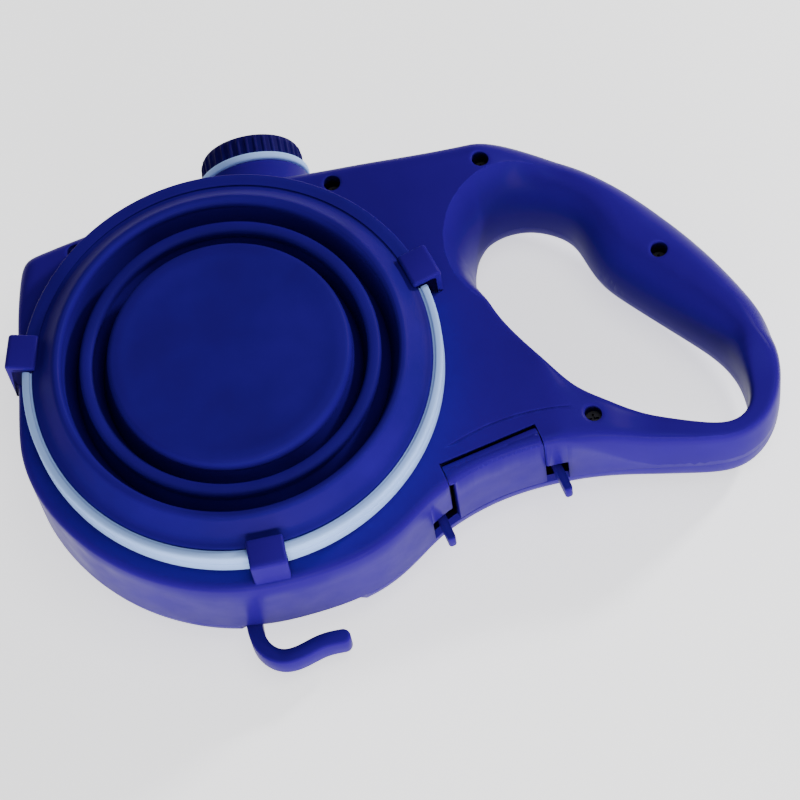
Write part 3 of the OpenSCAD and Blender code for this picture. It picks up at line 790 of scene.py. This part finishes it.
def make_door():
    """The bag compartment's door: the same form as the shell round it, with a hinge barrel."""
    half = DOOR_HALF
    local = to_door(OUTER)
    part = OUTER[(np.abs(local[:, 0]) < half) & (local[:, 1] < 4)]
    order = np.argsort(to_door(part)[:, 0])
    part = part[order]
    line = resample(part, 0.8, closed=False)
    ends = to_door(line)
    ends[0, 0], ends[-1, 0] = -half, half
    line = from_door(ends)
    right = [(half, y) for y in np.arange(ends[-1, 1] + 0.7, HINGE_Y, 0.7)]
    top = [(x, HINGE_Y) for x in np.arange(half, -half - 0.01, -0.8)]
    left = [(-half, y) for y in np.arange(HINGE_Y - 0.7, ends[0, 1] + 0.3, -0.7)]
    outer = np.vstack([line, from_door(right + top + left)])
    insets = (0.1, 0.3, 0.6, 1.0, 1.5, 2.1, 2.8, 3.7, 4.8)
    flat, faces = triangulate(sample_cloud([outer], insets, 1.2), [outer])
    place = to_door(flat)
    z = front_height(flat) - 0.3 * smooth(HINGE_Y - 0.5, HINGE_Y, place[:, 1])
    z -= shoulder(half - np.abs(place[:, 0]), 0.35)
    verts = [tuple(v) for v in np.column_stack([flat, z])]
    edges = border_edges(faces)
    bottoms = []
    for a, b in edges:
        mid = flat[[a, b]].mean(0)
        bottoms.append(SPLIT_Z + 0.4 if distance(mid[None], OUTER)[0] < 0.05 else None)
    extra, quads = skirt(verts, edges, bottoms)
    door = piece("bag_door_panel", verts + extra, [*faces, *quads], "door", "blue_case",
                 ["bag_door"])
    thicken(door)
    barrel = prism(circle((0, 0), 1.75, 28), -half, half, 0.25)
    turn = DOOR_FRAME @ Matrix.Translation((0, HINGE_Y, HINGE_Z)) @ Matrix.Rotation(math.pi / 2, 4, "Y")
    piece("door_barrel", *moved(barrel, turn), "door", "blue_case")


make_front()
make_back()
make_door()


# ---------------------------------------------------------------- neck, cap and clips
def make_neck():
    """The flared collar that the bottle's neck comes out of, the pale ring and the ribbed cap."""
    start = 57.0
    bell = [(start, 21.6), (60.5, 20.9), (63.5, 19.0), (66.5, 17.6), (70, 17.0), (COLLAR_END - 0.6, 16.8)]
    flare = spline(bell, 4, closed=False)
    profile = [(r, y) for y, r in flare] + [(16.3, COLLAR_END), (13.0, COLLAR_END), (13.0, start)]
    piece("neck_collar", *moved(lathe(profile), ALONG_NECK), "housing", "blue_case")
    lo, hi = COLLAR_END, high("neck_ring")[1]
    ring = rounded([(12.1, lo), (17.4, lo), (17.4, hi), (12.1, hi)], [0, 0.9, 0.9, 0], 4)
    piece("neck_ring_pale", *moved(lathe(ring), ALONG_NECK), "housing", "pale_plastic",
          ["neck_ring"])
    lo, hi = low("bottle_cap")[1], high("bottle_cap")[1]
    ribs = 36
    body = rounded([(12.9, lo), (15.4, lo), (15.4, hi), (0.01, hi), (0.01, hi - 2.1), (12.9, hi - 2.1)],
                   [0, 0.3, 1.1, 0, 0, 0.6], 4)

    def knurl(a, r, z):
        depth = max(0.0, math.cos(ribs * a)) ** 0.6
        fade = min(1.0, max(0.0, (hi - 0.7 - z) / 0.8))
        return 0.6 * depth * fade if r > 15.2 else 0.0

    fine = []
    for (r0, z0), (r1, z1) in zip(body, np.roll(body, -1, 0)):
        parts = 4 if abs(z1 - z0) > 3 else 1
        fine += [(r0 + (r1 - r0) * k / parts, z0 + (z1 - z0) * k / parts) for k in range(parts)]
    piece("cap_ribbed", *moved(lathe(fine, ribs * 8, knurl), ALONG_NECK), "cap", "cap_blue",
          ["bottle_cap"], angle=40)


def make_clips():
    """The three fixed clips: an upright leg with a lip over the bowl's rim."""
    for name, angle in CLIP_ANGLES.items():
        foot = 36.0 if name == "clip_left" else FACE_Z - 0.6
        outer_r, inner_r, lip_in, lip = 67.2, 64.5, 57.9, 2.5
        side = rounded([(outer_r, foot), (outer_r, CLIP_TOP), (lip_in, CLIP_TOP), (lip_in, CLIP_TOP - lip),
                        (inner_r, CLIP_TOP - lip), (inner_r, foot)], [0.2, 1.6, 1.2, 0.9, 0.7, 0.2], 5)
        shape = prism(side, -5.5, 5.5, 0.8)
        stand = Matrix(((1, 0, 0, 0), (0, 0, -1, 0), (0, 1, 0, 0), (0, 0, 0, 1)))
        turn = Matrix.Rotation(math.radians(angle), 4, "Z") @ stand
        piece(name + "_lip", *moved(shape, turn), "housing", "blue_case", [name], angle=50)


make_neck()
make_clips()


# ---------------------------------------------------------------- folding bowl
def make_bowl():
    """Rim ring, soft wall, two folded webs, middle ring and base."""
    groove = (RIM_Z + RIM_TOP) / 2 + 0.4
    rim = rounded([(57.6, RIM_Z), (RIM_R, RIM_Z), (RIM_R, groove - 0.5), (RIM_R - 0.45, groove),
                   (RIM_R, groove + 0.5), (RIM_R, RIM_TOP), (60.3, RIM_TOP), (60.1, RIM_TOP - 0.9),
                   (57.6, RIM_TOP - 0.9)], [0, 0.6, 0.2, 0.3, 0.2, 1.1, 0.5, 0.2, 0], 4)
    piece("rim_ring", *lathe(rim, 256), "bowl", "pale_plastic", ["bowl_rim"])
    r = 51.5
    wall = rounded([(57.2, RIM_TOP - 3), (59.6, RIM_TOP - 1.2), (59.4, RIM_TOP + 0.1), (57.2, RIM_TOP + 0.9),
                    (r + 2.6, RIDGE_Z - 1.9), (r + 0.6, RIDGE_Z + 0.35), (r - 1.6, RIDGE_Z - 0.3),
                    (r - 1.7, RIDGE_Z - 3.4), (r - 0.4, RIDGE_Z - 3.4), (r + 0.4, RIDGE_Z - 2.4),
                    (55.0, RIM_TOP - 1.4)], [0, 0.5, 0.9, 1.6, 3.0, 2.2, 1.6, 0, 0, 0.8, 0.8], 6)
    piece("bowl_cone", *lathe(wall, 256), "bowl", "bowl_silicone", ["bowl_wall"])
    # The soft lip wraps over the ring on the far half and ends under two of the clips
    skin = rounded([(RIM_R + 0.03, RIM_Z + 0.2), (RIM_R + 0.45, RIM_Z + 0.2), (RIM_R + 0.45, RIM_TOP + 0.1),
                    (61.5, RIM_TOP + 0.6), (58.6, RIM_TOP + 0.9), (58.6, RIM_TOP + 0.1),
                    (RIM_R - 1.2, RIM_TOP + 0.05), (RIM_R + 0.03, RIM_TOP - 1.2)],
                   [0, 0.2, 1.3, 0.8, 0, 0, 0.8, 0.8], 5)
    piece("bowl_lip_far", *swept(skin, CLIP_ANGLES["clip_right"], CLIP_ANGLES["clip_left"]), "bowl",
          "bowl_silicone")
    h = 2.05
    mid = MID_R - h
    ring = rounded([(mid - h, MID_Z - 3), (mid + h, MID_Z - 3), (mid + h, MID_Z), (mid - h, MID_Z)],
                   [0, 0, 1.9, 1.9], 6)
    piece("bowl_ridge", *lathe(ring, 224), "bowl_middle", "bowl_silicone", ["bowl_mid_ring"])
    base = rounded([(0, BASE_Z - 2.2), (BASE_R - 4, BASE_Z - 2.2), (BASE_R - 2.2, BASE_Z - 5),
                    (BASE_R, BASE_Z - 5), (BASE_R, BASE_Z - 0.5), (BASE_R - 3.5, BASE_Z - 0.1),
                    (BASE_R - 8, BASE_Z - 0.45),
                    (0, BASE_Z)], [0, 0.8, 0, 0.3, 2.6, 1.5, 3, 0], 6, closed=False)
    piece("bowl_floor", *disc(base, 224), "bowl_bottom", "bowl_silicone", ["bowl_base"])

    def web(name, node, top_r, top_z, bottom_r, away):
        """One leg of a folded web, 1.3 thick, from its ring down to the fold's bottom."""
        t = 1.3
        leg = rounded([(top_r, top_z), (bottom_r + away * 0.9, FOLD_Z + 0.3), (bottom_r, FOLD_Z),
                       (bottom_r, FOLD_Z + t), (top_r - away * t, top_z)], [0, 0.8, 0, 0, 0], 5)
        if away < 0:
            leg = leg[::-1]
        obj = piece(name, *lathe(leg, 192), None, "bowl_silicone", [node])
        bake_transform(obj)

    outer_bottom = (r - 0.4 + mid) / 2
    wall_z, mid_low = RIDGE_Z - 3.4, MID_Z - 3
    web("fold_outer_a", "bowl_fold_outer", r - 0.4, wall_z, outer_bottom, 1)
    web("fold_outer_b", "bowl_fold_outer", mid, mid_low, outer_bottom, -1)
    inner_bottom = (mid + BASE_R - 1.3) / 2
    web("fold_inner_a", "bowl_fold_inner", mid, mid_low, inner_bottom, 1)
    web("fold_inner_b", "bowl_fold_inner", BASE_R - 1.3, BASE_Z - 5, inner_bottom, -1)


make_bowl()


# ---------------------------------------------------------------- small moving pieces
def make_hook():
    """The bag hook: an S-shaped strip with a round blunt tip and an eye for its pin."""
    path = resample(spline(HOOK_PATH, 10, closed=False), 0.7, closed=False)
    lo, hi = low("bag_hook")[2], high("bag_hook")[2]
    strip = prism(ribbon(path, 4.7), lo, hi, 0.9)
    section = [(1.56, lo + 0.05), (3.6, lo + 0.05), (3.6, hi - 0.05), (1.56, hi - 0.05)]
    eye = lathe(rounded(section, [0.2, 0.6, 0.6, 0.2], 3), 48)
    eye = moved(eye, Matrix.Translation((*HOOK_PIVOT, 0)))
    piece("hook_curl", *joined(strip, eye), "hook", "blue_case", ["bag_hook"], angle=50)


def make_latches():
    """The two finger tabs beside the door, on their pivots."""
    for sign, name in ((-1, "latch_left"), (1, "latch_right")):
        x, pivot_y = sign * 18.9, 6.0
        lo, hi = low(name)[2], high(name)[2]
        corners = [(x - 1.25, -8), (x + 1.25, -8), (x + 1.25, 5), (x - 1.25, 5)]
        blade = rounded(corners, [1.1, 1.1, 0.3, 0.3], 5)
        boss = lathe(rounded([(1.06, lo), (2.2, lo), (2.2, hi), (1.06, hi)], [0.1, 0.3, 0.3, 0.1], 3), 40)
        shape = joined(prism(blade, lo, hi, 0.6), moved(boss, Matrix.Translation((x, pivot_y, 0))))
        piece(name + "_tab", *moved(shape, DOOR_FRAME), name + "_arm", "blue_case", [name],
              angle=50)


def make_button():
    """The thumb brake: a ribbed button in the far edge, with its arm and pin behind."""
    lo, hi = low("brake_button"), high("brake_button")
    front_y = 67.4
    xs = np.linspace(BUTTON[1], BUTTON[0], 90)
    bow = front_y - 60 + np.sqrt(60 ** 2 - (xs - 60) ** 2)
    ribs = 0.45 * np.clip(np.cos((xs - 60) * 2 * math.pi / 3), -0.2, 1) * (np.abs(xs - 60) < 10.6)
    crown = np.stack([xs, bow - 0.45 + ribs], 1)
    face = np.vstack([[(BUTTON[0], 57.5), (BUTTON[1], 57.5)], crown])
    button = prism(face, BUTTON_Z[0], BUTTON_Z[1], 0.9)
    arm_low, arm_high = lo[2], lo[2] + 2.3
    pin = np.array([lo[0] + 1.5, lo[1] + 1.5])
    elbow = np.array([56.0, 56.0])
    arm = prism(ribbon(resample(np.array([pin, elbow]), 1.0, closed=False), 3.0), arm_low, arm_high, 0.25)
    block = prism(np.array([(52, 54), (64, 54), (64, 57.6), (52, 57.6)], float), arm_low, hi[2] - 2, 0.3)
    piece("thumb_button", *joined(button, arm, block), "brake", "blue_case", ["brake_button"],
          angle=50)


def make_brake_spring():
    """The wire spring behind the button."""
    lo, hi = low("brake_spring"), high("brake_spring")
    wire, turns, sides, per_turn = 0.4, 5, 8, 28
    radius = (hi[0] - lo[0]) / 2 - wire
    x, z = (lo[0] + hi[0]) / 2, (lo[2] + hi[2]) / 2
    start, length = lo[1] + wire, hi[1] - lo[1] - 2 * wire
    verts, count = [], turns * per_turn + 1
    for a in np.linspace(0, turns * 2 * math.pi, count):
        y = start + length * a / (turns * 2 * math.pi)
        for b in np.linspace(0, 2 * math.pi, sides, endpoint=False):
            q = radius + wire * math.cos(b)
            verts.append((x + q * math.cos(a), y + wire * math.sin(b), z + q * math.sin(a)))
    quad = [(0, 0), (0, 1), (1, 1), (1, 0)]
    faces = [tuple((i + di) * sides + (k + dk) % sides for di, dk in quad)
             for i in range(count - 1) for k in range(sides)]
    ends = [tuple(reversed(range(sides))), tuple(range((count - 1) * sides, count * sides))]
    spring = piece("brake_spring_wire", verts, [*faces, *ends], "housing", "steel",
                   ["brake_spring"], angle=60)
    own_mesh(spring)


def make_outlet():
    """The dark bezel round the slot in the nose that the tape leaves by."""
    middle_y = (low("tape_run")[1] + high("tape_run")[1]) / 2
    z_low, z_high = low("tape_run")[2] - 0.3, high("tape_run")[2] + 0.3
    nose = OUTER[(OUTER[:, 0] < -50) & (OUTER[:, 1] > 20) & (OUTER[:, 1] < 52)]
    nose = nose[np.argsort(nose[:, 1])]

    def on_wall(y, z, proud):
        inset = 18 * (1 - math.sqrt(1 - (1 - z / SPLIT_Z) ** 2))
        return (np.interp(y, nose[:, 1], nose[:, 0]) + inset - proud, y, z)

    n = 72
    turn = np.linspace(0, 2 * math.pi, n, endpoint=False)
    square = np.stack([np.cos(turn), np.sin(turn)], 1)
    square = np.sign(square) * np.abs(square) ** 0.35
    centre = np.array([middle_y, (z_low + z_high) / 2])
    half_z = (z_high - z_low) / 2
    inner, outer = centre + square * (1.3, half_z), centre + square * (4.4, half_z + 0.6)
    rings = [(outer, -0.6), (outer, 0.7), (outer * 0.9 + inner * 0.1, 1.1), (inner, 1.1), (inner, 0.4),
             (inner * 0.5 + centre * 0.5, 0.4), (inner * 0.1 + centre * 0.9, 0.4)]
    verts = [on_wall(y, z, proud) for ring, proud in rings for y, z in ring]
    faces = [(r * n + i, (r + 1) * n + i, (r + 1) * n + (i + 1) % n, r * n + (i + 1) % n)
             for r in range(len(rings) - 1) for i in range(n)]
    faces.append(tuple(range((len(rings) - 1) * n, len(rings) * n))[::-1])
    piece("outlet_bezel", verts, faces, "housing", "inner_plastic", ["outlet_guide"])


make_hook()
make_latches()
make_button()
make_brake_spring()
make_outlet()


# ---------------------------------------------------------------- stage, light and camera
def area_light(name, place, target, size, energy, color=(1, 1, 1)):
    """A soft area light that points at a target."""
    data = bpy.data.lights.new(name, "AREA")
    data.shape = "RECTANGLE"
    data.size, data.size_y = size
    data.energy = energy
    data.color = color
    lamp = bpy.data.objects.new(name, data)
    lamp.location = place
    lamp.rotation_euler = (Vector(target) - Vector(place)).to_track_quat("-Z", "Y").to_euler()
    bpy.context.scene.collection.objects.link(lamp)


def make_stage():
    """A plain pale floor, a bright world, a key light low on the near side and a soft fill."""
    floor = bpy.data.meshes.new("floor")
    s = 3.0
    floor.from_pydata([(-s, -s, 0), (s, -s, 0), (s, s, 0), (-s, s, 0)], [], [(0, 1, 2, 3)])
    n = Nodes("floor_paper")
    base = n.mix(n.spread(n.noise(3, 3), 0.3, 0.7, 0, 1), (0.90, 0.90, 0.91), (0.93, 0.93, 0.93))
    floor.materials.append(n.finish(base, 0.7, n.bump(n.noise(400, 3), 0.1, 0.0002), Emission_Strength=1.2))
    ground = bpy.data.objects.new("floor", floor)
    ground.location.z = -0.0005
    bpy.context.scene.collection.objects.link(ground)
    world = bpy.data.worlds.new("studio")
    world.use_nodes = True
    world.node_tree.nodes["Background"].inputs["Color"].default_value = (0.95, 0.96, 1.0, 1)
    world.node_tree.nodes["Background"].inputs["Strength"].default_value = 0.22
    bpy.context.scene.world = world
    middle = (0.045, 0.0, 0.03)
    area_light("key", (0.10, -1.0, 0.20), middle, (0.9, 0.25), 13)
    area_light("top", (0.25, -0.15, 1.1), middle, (0.6, 0.5), 4.5)
    area_light("right", (0.85, 0.42, 0.5), middle, (0.12, 0.12), 9)


def make_camera():
    """The camera above the near side, turned a little, as in the photograph."""
    data = bpy.data.cameras.new("camera")
    data.lens = 152.8
    data.sensor_width = 36
    data.clip_start = 0.01
    camera = bpy.data.objects.new("camera", data)
    right, up, back = (0.98096, -0.17611, -0.08193), (0.19423, 0.88942, 0.41380), (0.0, -0.42183, 0.90668)
    turn = Matrix((right, up, back)).transposed().to_4x4()
    camera.matrix_world = Matrix.Translation((0.046516, -0.440293, 0.951680)) @ turn
    bpy.context.scene.collection.objects.link(camera)
    bpy.context.scene.camera = camera


make_stage()
make_camera()
